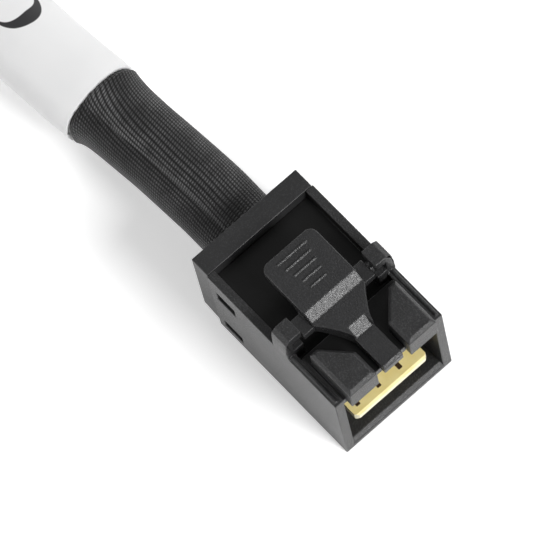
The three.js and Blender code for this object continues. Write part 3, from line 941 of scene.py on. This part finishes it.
@dataclass
class Plug:
    """One plug: the rounded mouldings, the cards with their contacts, and what is behind them."""

    letter: str
    finishes: Finishes
    housing_edge: float = 0.07 * MM
    cap_edge: float = 0.08 * MM
    latch_edge: float = 0.07 * MM
    holder_edge: float = 0.06 * MM
    pad_pitch: float = 0.75 * MM
    pads: int = 9
    ground_every: int = 3
    pad_width: float = 0.5 * MM
    pad_length: float = 2.6 * MM
    pad_setback: float = 1.9 * MM
    pad_corner: float = 0.06 * MM
    corner_steps: int = 2
    ground_width: float = 0.4 * MM
    ground_setback: float = 0.65 * MM
    plate: float = 0.03 * MM
    rail_width: float = 0.85 * MM
    pocket_floor: float = 9.05 * MM
    # Where the darker pocket finish ends; in front of the pocket it is painted shade.
    pocket_front: float = 8.3 * MM
    pocket_top: float = 10.2 * MM
    deck_length: float = 5.0 * MM
    deck_level: float = 10.4 * MM
    ramp_front: float = 5.75 * MM
    ramp_length: float = 1.35 * MM
    ramp_half_width: float = 1.15 * MM
    ramp_level: float = 11.6 * MM
    mouth: float = 8.275 * MM
    edge_line: float = 0.12 * MM
    pieces: list[bpy.types.Object] = field(default_factory=list)

    def node(self, stem: str) -> str:
        """The name of this plug's solid."""
        return f"{stem}_{self.letter}"

    def origin(self) -> tuple[float, float]:
        """Where the plug's own origin is.

        Returns:
            Its X and its Y in the model's frame.
        """
        low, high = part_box(self.node("housing"))
        return high.x - self.mouth, (low.y + high.y) / 2

    def ramp(self) -> Box:
        """The box of the small ramp on the latch's tongue, whose edges stay sharp.

        Returns:
            Its lowest and highest corner.
        """
        x, y = self.origin()
        front = x + self.ramp_front
        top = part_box(self.node("housing"))[1].z
        return (
            Vector((front - self.ramp_length, y - self.ramp_half_width, self.ramp_level)),
            Vector((front, y + self.ramp_half_width, top)),
        )

    def pocket(self) -> Box:
        """The box of the smooth pocket under and behind the latch, with its walls. It reaches on to the
        mouth, and in front of the pocket its darker finish is painted shade on the floor between the guide
        blocks.

        Returns:
            Its lowest and highest corner.
        """
        x, y = self.origin()
        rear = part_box(self.node("rear_cap"))[0].x
        side = self.rail_width - self.edge_line
        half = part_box(self.node("housing"))[1].y - y - side
        return (
            Vector((rear + side, y - half, self.pocket_floor - self.edge_line)),
            Vector((x + self.pocket_front + self.edge_line, y + half, self.pocket_top)),
        )

    def deck(self) -> Box:
        """The box of the deck between the guide blocks, whose darker pocket finish is painted shade for the
        shadow in the narrow grooves there.

        Returns:
            Its lowest and highest corner.
        """
        low, high = self.pocket()
        return (
            Vector((high.x - self.deck_length, low.y, self.deck_level - self.edge_line)),
            Vector((high.x, high.y, self.deck_level + self.edge_line)),
        )

    def mould(self, stem: str, body: str, slot: str, radius: float, *materials: bpy.types.Material) -> None:
        """Adds a rounded copy of one solid in the solid's place.

        Args:
            stem: The solid's name without the plug's letter.
            body: The body that it rides.
            slot: Not used.
            radius: The edge rounding.
            materials: Its materials.
        """
        copy = SolidCopy(self.node(stem), radius, spared=self.ramp())
        # The second finish is the pocket's darker polish; on the deck and the floor in front of the pocket
        # it is painted shade.
        if len(materials) > 1:
            copy.paint(1, self.pocket())
            copy.paint(1, self.deck())
        piece = copy.finish(f"{stem}_moulding_{self.letter}", *materials)
        self.pieces.append(settle(piece, body, slot, self.node(stem)))

    def dress(self, stem: str, material: bpy.types.Material) -> None:
        """Gives a solid that stays its finish.

        Args:
            stem: The solid's name without the plug's letter.
            material: The finish.
        """
        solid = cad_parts[self.node(stem)]
        solid.data.materials.clear()
        solid.data.materials.append(material)
        self.pieces.append(solid)

    def strip(self, shape: bmesh.types.BMesh, middle: Vector, width: float) -> None:
        """Adds one flat strip.

        Args:
            shape: What it is added to.
            middle: Its middle.
            width: Its width.
        """
        size = Matrix.Diagonal((self.pad_length, width, self.plate, 1.0))
        made = bmesh.ops.create_cube(shape, size=1.0)
        bmesh.ops.transform(shape, matrix=Matrix.Translation(middle) @ size, verts=made["verts"])

    def strips(
        self, stem: str, centres: Iterable[float], width: float, setback: float, material: bpy.types.Material
    ) -> None:
        """Adds thin strips with rounded corners on both faces of both cards.

        Args:
            stem: The piece's name without the plug's letter.
            centres: Their places across the card.
            width: Their width.
            setback: How far behind the card's front they start.
            material: Their finish.
        """
        shape = bmesh.new()
        places = list(centres)
        for card in ("upper_card", "lower_card"):
            low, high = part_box(self.node(card))
            x = high.x - setback - self.pad_length / 2
            middle = (low.y + high.y) / 2
            for z in (high.z + self.plate / 2, low.z - self.plate / 2):
                for y in places:
                    self.strip(shape, Vector((x, middle + y, z)), width)
        bmesh.ops.bevel(
            shape,
            geom=[e for e in shape.edges if abs((e.verts[0].co - e.verts[1].co).z) > self.plate / 2],
            offset=self.pad_corner,
            segments=self.corner_steps,
            profile=0.5,
            affect="EDGES",
            material=-1,
        )
        piece = piece_from(shape, self.node(stem), material)
        self.pieces.append(settle(piece, "cable", "card_laminate"))

    def contacts(self) -> None:
        """Adds the signal contacts in gold and the ground contacts in dark brown."""
        half = (self.pads - 1) / 2
        centres = [(i - half) * self.pad_pitch for i in range(self.pads)]
        grounds = centres[0::self.ground_every]
        signals = [y for y in centres if y not in grounds]
        made = self.finishes
        self.strips("signal_contacts", signals, self.pad_width, self.pad_setback, made.gold)
        self.strips("ground_contacts", grounds, self.ground_width, self.ground_setback, made.ground)

    def build(self) -> list[bpy.types.Object]:
        """Builds the plug.

        Returns:
            Its pieces.
        """
        made = self.finishes
        lever = f"latch_{self.letter}"
        self.mould("housing", "cable", "housing_plastic", self.housing_edge, made.housing, made.pocket)
        self.mould("rear_cap", "cable", "housing_plastic", self.cap_edge, made.cap, made.pocket)
        self.mould("latch_lever", lever, "latch_plastic", self.latch_edge, made.latch)
        self.mould("card_holder", "cable", "insert_plastic", self.holder_edge, made.insert)
        for stem in ("upper_card", "lower_card"):
            self.dress(stem, made.laminate)
        self.contacts()
        self.dress("potting", made.potting)
        for stem in ("upper_wires", "lower_wires"):
            self.dress(stem, made.foil)
        return self.pieces


@dataclass
class FlatCable:
    """The woven cable from the first plug, once and a half round the coil, to the second plug.

    The lead's and the tail's points are in millimetres.
    """

    width: float = 6.7 * MM
    thickness: float = 5.2 * MM
    whole_length: float = 0.5
    exit_point: Point = (-9.025 * MM, 0.0, 5.1 * MM)
    coil_centre: tuple[float, float] = (-84.0 * MM, -38.5 * MM)
    coil_radius: float = 36.5 * MM
    low_level: float = 3.4 * MM
    level_rise: float = 5.4 * MM
    turns: float = 1.5
    points_per_turn: int = 24
    rise_start: float = 0.58
    rise_end: float = 0.92
    around: int = 56
    fine_step: float = 0.3 * MM
    coil_step: float = 1.2 * MM
    lead_points: tuple[Point, ...] = (
        (-8.025, 0.0, 5.1), (-11.0, 0.0, 5.1), (-14.0, 0.0, 5.1), (-18.2, -0.22, 5.0),
        (-22.0, -0.5, 4.8), (-26.3, -0.85, 4.5), (-30.5, -1.15, 4.2), (-34.8, -1.4, 3.95),
        (-40.0, -1.65, 3.7), (-46.0, -1.85, 3.5), (-52.0, -1.95, 3.42), (-61.8, -2.0, 3.4),
        (-72.0, -2.0, 3.4),
    )
    tail_points: tuple[Point, ...] = (
        (-72.0, -75.0, 8.8), (-61.8, -75.0, 8.8), (-54.0, -75.0, 8.5), (-47.0, -75.0, 7.9),
        (-40.0, -75.0, 7.2), (-33.0, -75.0, 6.5), (-26.0, -75.0, 5.9), (-19.0, -75.0, 5.45),
        (-12.0, -75.0, 5.15), (-8.0, -75.0, 5.1), (-5.0, -75.0, 5.1), (-2.425, -75.0, 5.1),
    )

    def coil_points(self) -> list[Vector]:
        """The coil's centre line: level, then one layer up on the side away from the tie.

        Returns:
            The points from the lead's end to the tail's start.
        """
        count = round(self.turns * self.points_per_turn)
        points = []
        for i in range(count + 1):
            turn = i / self.points_per_turn
            share = min(1.0, max(0.0, (turn - self.rise_start) / (self.rise_end - self.rise_start)))
            lift = share * share * (3.0 - 2.0 * share)
            angle = math.pi / 2 + turn * math.tau
            x = self.coil_centre[0] + self.coil_radius * math.cos(angle)
            y = self.coil_centre[1] + self.coil_radius * math.sin(angle)
            points.append(Vector((x, y, self.low_level + self.level_rise * lift)))
        return points

    def route(self) -> list[Vector]:
        """The whole centre line on one smooth curve.

        Returns:
            Points about one step apart.
        """
        lead = [Vector(point) * MM for point in self.lead_points]
        coil = self.coil_points()
        tail = [Vector(point) * MM for point in self.tail_points]
        marks = [*lead, *coil, *tail]
        line: list[Vector] = []
        for i in range(len(marks) - 1):
            in_coil = len(lead) - 1 <= i < len(lead) + len(coil)
            step = self.coil_step if in_coil else self.fine_step
            count = max(1, math.ceil((marks[i + 1] - marks[i]).length / step))
            line += [self.curve(marks, i, k / count) for k in range(count)]
        line.append(marks[-1])
        return line

    @staticmethod
    def curve(marks: Sequence[Vector], i: int, t: float) -> Vector:
        """A point of the smooth curve between two marks.

        Args:
            marks: The points that the curve runs through.
            i: The first mark's number.
            t: The share of the way to the next one.

        Returns:
            The point.
        """
        start, end = marks[i], marks[i + 1]
        reach = (end - start).length
        leave = (end - marks[max(i - 1, 0)]).normalized() * reach
        arrive = (marks[min(i + 2, len(marks) - 1)] - start).normalized() * reach
        there = t * t * (3.0 - 2.0 * t)
        back = 1.0 - t
        return start * (1.0 - there) + end * there + leave * (t * back * back) - arrive * (t * t * back)


@dataclass
class Tube:
    """A tube swept along a line with a changing section, and its UV map in millimetres."""

    shape: bmesh.types.BMesh
    line: Sequence[Vector]
    sections: Sequence[Section]
    rings: list[list[bmesh.types.BMVert]] = field(default_factory=list)

    def sweep(self) -> None:
        """Makes the tube with open ends."""
        self.extrude()
        self.form()
        self.unwrap()

    def extrude(self) -> None:
        """Extrudes a ring once for each further point of the line."""
        ring = bmesh.ops.create_circle(self.shape, segments=len(self.sections[0]), radius=1.0)["verts"]
        edges = list({edge for vert in ring for edge in vert.link_edges})
        self.rings.append(ring)
        for _ in self.line[1:]:
            made = bmesh.ops.extrude_edge_only(self.shape, edges=edges)["geom"]
            fresh = {part for part in made if isinstance(part, bmesh.types.BMVert)}
            lines = [part for part in made if isinstance(part, bmesh.types.BMEdge)]
            edges = [edge for edge in lines if fresh.issuperset(edge.verts)]
            self.rings.append([self.follower(vert, fresh) for vert in self.rings[-1]])

    @staticmethod
    def follower(vert: bmesh.types.BMVert, fresh: set[bmesh.types.BMVert]) -> bmesh.types.BMVert:
        """The new point that was extruded from an old one."""
        return next(edge.other_vert(vert) for edge in vert.link_edges if edge.other_vert(vert) in fresh)

    def form(self) -> None:
        """Puts each ring across the line and gives it its section."""
        last = len(self.line) - 1
        for i, (centre, ring, section) in enumerate(zip(self.line, self.rings, self.sections)):
            ahead = (self.line[min(i + 1, last)] - self.line[max(i - 1, 0)]).normalized()
            side = ahead.cross(UP).normalized()
            rise = side.cross(ahead).normalized()
            for vert, (across, up) in zip(ring, section):
                vert.co = centre + side * across + rise * up

    def unwrap(self) -> None:
        """Maps the distance round the tube and the distance along it."""
        around = len(self.sections[0])
        step = perimeter(self.sections[0]) / around
        far = distances_along(self.line)
        places = {vert: (i, k) for i, ring in enumerate(self.rings) for k, vert in enumerate(ring)}
        layer = self.shape.loops.layers.uv.verify()
        for face in {face for vert in places for face in vert.link_faces}:
            numbers = [places[vert][1] for vert in face.verts]
            wraps = max(numbers) - min(numbers) > around / 2
            for loop in face.loops:
                i, k = places[loop.vert]
                turn = k + around if wraps and k < around / 2 else k
                loop[layer].uv = (turn * step / MM, far[i] / MM)
            face.smooth = True

    def close(self) -> None:
        """Closes both ends with a flat face."""
        rims = [edge for edge in self.shape.edges if edge.is_boundary]
        for face in bmesh.ops.holes_fill(self.shape, edges=rims, sides=0)["faces"]:
            face.smooth = False


@dataclass
class CableBuilder:
    """Makes the cable's piece and the sleeves and the tie on it."""

    cable: FlatCable
    entry: float = 1.0 * MM
    sleeve_start: float = 17.5 * MM
    sleeve_length: float = 30.0 * MM
    sleeve_gap: float = 0.2 * MM
    sleeve_wall: float = 0.3 * MM
    sleeve_smooth: float = 50.0
    lip: float = 0.1 * MM
    lip_reach: float = 0.4 * MM
    nought: tuple[float, float] = (10.3, 10.8)
    flare: float = 0.46 * MM
    flare_reach: float = 1.5 * MM
    flare_middle: float = 0.75
    flare_tilt: float = 0.35
    fold_in: float = 0.3 * MM
    tuck: float = 0.6
    squareness: float = 0.86
    crease_turn: float = 0.565
    crease_width: float = 0.03
    crease_depth: float = 0.26 * MM
    crease_pressed: float = 0.35
    ripple: float = 0.07 * MM
    ripples_round: float = 6.0
    ripples_along: float = 160.0
    ripple_row: float = 3.1
    tie_edge: float = 0.15 * MM

    def __post_init__(self) -> None:
        """Works out the centre line and the distances along it."""
        self.line = self.cable.route()
        self.far = distances_along(self.line)

    def from_plug(self, i: int, letter: str) -> float:
        """How far one point of the line is from a plug, along the cable."""
        return self.far[i] if letter == "a" else self.far[-1] - self.far[i]

    def section(self, i: int) -> list[tuple[float, float]]:
        """The cable's section at one point of the line.

        Args:
            i: The point's number.

        Returns:
            Points as (sideways, upward), from below, round the side away from the second plug.
        """
        near = min(self.from_plug(i, "a"), self.from_plug(i, "b")) - self.entry
        before = self.sleeve_start - self.fold_in - near
        bare = before > 0.0
        crease_depth = self.crease_depth * (1.0 if bare else self.crease_pressed)
        points = []
        for k in range(self.cable.around):
            turn = k / self.cable.around
            angle = turn * math.tau - math.pi / 2
            c, s = math.cos(angle), math.sin(angle)
            tilted = self.flare_reach * (self.flare_middle + self.flare_tilt * c)
            reach = tilted if bare else self.fold_in * self.tuck
            flare = self.flare * math.exp(-abs(before) / reach)
            across = math.copysign(abs(c) ** self.squareness, c) * (self.cable.width / 2 + flare)
            rise = math.copysign(abs(s) ** self.squareness, s) * (self.cable.thickness / 2 + flare)
            crease = math.exp(-(((turn - self.crease_turn) / self.crease_width) ** 2))
            spot = Vector((turn * self.ripples_round, self.far[i] * self.ripples_along, self.ripple_row))
            change = noise.noise(spot) * self.ripple - crease_depth * crease
            shrink = 1.0 + change / (self.cable.width / 2)
            points.append((across * shrink, rise * shrink))
        return points

    def build_cable(self) -> bpy.types.Object:
        """Makes the woven cable.

        Returns:
            The cable's piece.
        """
        shape = bmesh.new()
        tube = Tube(shape, self.line, [self.section(i) for i in range(len(self.line))])
        tube.sweep()
        tube.close()
        bmesh.ops.recalc_face_normals(shape, faces=shape.faces)
        fold = self.crease_turn * perimeter(self.section(0)) / MM
        opening = (self.entry + self.sleeve_start) / MM
        weave = WovenMonofilament("woven_sleeve", fold, opening).make()
        piece = piece_from(shape, "woven_cable", weave)
        return settle(piece, "cable", "braided_sleeve", "cable_lead", "cable_coil", "cable_tail")

    def build_sleeve(self, letter: str, printed: Range | None) -> bpy.types.Object:
        """Makes one white sleeve.

        Args:
            letter: The plug that it is near.
            printed: Where its printed nought is, in millimetres of its own UV map.

        Returns:
            The sleeve's piece.
        """
        start = self.sleeve_start + self.entry
        end = start + self.sleeve_length
        spans = [i for i in range(len(self.line)) if start <= self.from_plug(i, letter) <= end]
        outer, inner = [], []
        for i in spans:
            body = self.section(i)
            lip = self.lip * math.exp((start - self.from_plug(i, letter)) / self.lip_reach)
            outer.append([self.grown(point, self.sleeve_gap + self.sleeve_wall - lip) for point in body])
            inner.append([self.grown(point, self.sleeve_gap) for point in body])
        shape = bmesh.new()
        for sections in (outer, inner):
            Tube(shape, [self.line[i] for i in spans], sections).sweep()
        for rims in self.rims_of(shape):
            bmesh.ops.bridge_loops(shape, edges=rims)
        bmesh.ops.recalc_face_normals(shape, faces=shape.faces)
        smooth_by_angle(shape, self.sleeve_smooth)
        material = ShrunkTube(f"shrink_sleeve_{letter}", printed).make()
        piece = piece_from(shape, f"label_sleeve_{letter}", material)
        return settle(piece, "cable", "shrink_sleeve", f"shrink_sleeve_{letter}")

    @staticmethod
    def grown(point: tuple[float, float], margin: float) -> tuple[float, float]:
        """A section's point moved outwards by a margin."""
        larger = 1.0 + margin / math.hypot(*point)
        return (point[0] * larger, point[1] * larger)

    @staticmethod
    def rims_of(shape: bmesh.types.BMesh) -> list[list[bmesh.types.BMEdge]]:
        """Sorts a sleeve's open rims into its two ends.

        Args:
            shape: The sleeve's walls.

        Returns:
            The rims of the first end and of the other end.
        """
        rims = {e: (e.verts[0].co.x + e.verts[1].co.x) / 2 for e in shape.edges if e.is_boundary}
        middle = sum(rims.values()) / len(rims)
        ahead = [edge for edge, x in rims.items() if x > middle]
        behind = [edge for edge, x in rims.items() if x <= middle]
        return [ahead, behind]

    def build_tie(self, material: bpy.types.Material) -> bpy.types.Object:
        """Makes the strap round the coil.

        Args:
            material: Its finish.

        Returns:
            The strap's piece.
        """
        piece = SolidCopy("coil_tie", self.tie_edge).finish("coil_strap", material)
        return settle(piece, "cable", "tie_strap", "coil_tie")


@dataclass(frozen=True)
class SoftLamp:
    """A square soft lamp that points at the object. Its place and its side are in metres."""

    name: str
    place: Point
    size: float
    watts: float

    def build(self) -> None:
        """Adds the lamp to the scene."""
        data = bpy.data.lights.new(self.name, "AREA")
        data.size = self.size
        data.energy = self.watts
        made = bpy.data.objects.new(self.name, data)
        made.location = self.place
        made.rotation_mode = "QUATERNION"
        made.rotation_quaternion = (-Vector(self.place)).to_track_quat("-Z", "Y")
        bpy.context.scene.collection.objects.link(made)


@dataclass(frozen=True)
class Studio:
    """The camera, the lamps and the floor."""

    camera_place: Point = (175.028 * MM, -93.767 * MM, 499.836 * MM)
    camera_azimuth: float = -27.388
    camera_elevation: float = 67.7514
    camera_roll: float = -15.37
    lens: float = 430.7
    sensor: float = 36.0
    nearest: float = 0.01
    farthest: float = 20.0
    overhead_light: float = 0.26
    horizon_light: float = 1.0
    horizon_height: float = 0.6
    floor_shade: Colour = (0.93, 0.93, 0.93)
    floor_glow: float = 0.36
    floor_roughness: float = 0.9
    floor_size: float = 4.0
    lamps: tuple[SoftLamp, ...] = (
        SoftLamp("front_lamp", (0.566, 0.13, 0.474), 0.23, 5.0),
        SoftLamp("left_lamp", (-0.255, -0.56, 0.43), 0.30, 0.75),
        SoftLamp("right_lamp", (-0.255, 0.56, 0.43), 0.30, 0.7),
    )

    def build(self) -> None:
        """Makes all of it."""
        self.camera()
        self.world()
        for lamp in self.lamps:
            lamp.build()
        self.floor()

    def camera(self) -> None:
        """Puts the camera where the photograph was taken from, with its angles in degrees."""
        data = bpy.data.cameras.new("camera")
        data.lens = self.lens
        data.sensor_width = self.sensor
        data.clip_start = self.nearest
        data.clip_end = self.farthest
        made = bpy.data.objects.new("camera", data)
        round_z = Matrix.Rotation(math.radians(self.camera_azimuth + 90.0), 4, "Z")
        tilt = Matrix.Rotation(math.radians(90.0 - self.camera_elevation), 4, "X")
        roll = Matrix.Rotation(math.radians(self.camera_roll), 4, "Z")
        made.matrix_world = Matrix.Translation(self.camera_place) @ round_z @ tilt @ roll
        bpy.context.scene.collection.objects.link(made)
        bpy.context.scene.camera = made

    def world(self) -> None:
        """Lights from all sides, less from overhead, and shows white to the camera."""
        world = bpy.data.worlds.new("surroundings")
        world.use_nodes = True
        graph = Graph(world.node_tree)
        height = graph.parts(graph.coordinate("Generated"))[2]
        light = graph.node("ShaderNodeMapRange", {}, {
            "Value": height,
            "From Max": self.horizon_height,
            "To Min": self.horizon_light,
            "To Max": self.overhead_light,
        })
        seen = graph.node("ShaderNodeMapRange", {}, {
            "Value": graph.ray("Is Camera Ray"),
            "To Min": light.outputs["Result"],
            "To Max": 1.0,
        })
        sky = graph.node("ShaderNodeBackground", {}, {
            "Color": (1.0, 1.0, 1.0),
            "Strength": seen.outputs["Result"],
        })
        graph.node("ShaderNodeOutputWorld", {}, {"Surface": sky.outputs["Background"]})
        bpy.context.scene.world = world

    def floor(self) -> None:
        """Lays a white floor that keeps the object's shadow."""
        finish = Finish("white_floor")
        seen = finish.ray("Is Camera Ray") + finish.ray("Is Glossy Ray")
        finish.set(
            Base_Color=self.floor_shade,
            Roughness=self.floor_roughness,
            Specular_IOR_Level=0.0,
            Emission_Color=finish.mix(seen * self.floor_glow, (0.0, 0.0, 0.0), (1.0, 1.0, 1.0)),
            Emission_Strength=1.0,
        )
        shape = bmesh.new()
        bmesh.ops.create_grid(shape, x_segments=1, y_segments=1, size=self.floor_size)
        piece_from(shape, "studio_floor", finish.material)


def main() -> None:
    """Builds the studio, the cable and the plugs, and reports each piece."""
    logging.basicConfig(level=logging.INFO, format="%(name)s %(message)s")
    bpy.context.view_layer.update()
    bpy.context.scene.view_settings.view_transform = "Standard"
    Studio().build()
    finishes = Finishes()
    cable = FlatCable()
    builder = CableBuilder(cable)
    woven = builder.build_cable()
    sleeves = [builder.build_sleeve("a", builder.nought), builder.build_sleeve("b", None)]
    strap = builder.build_tie(finishes.strap)
    Plug("a", finishes).build()
    far_plug = Plug("b", finishes).build()
    LOG.info("the cable's route is %.1f mm long", builder.far[-1] / MM)


if __name__ == "__main__":
    main()
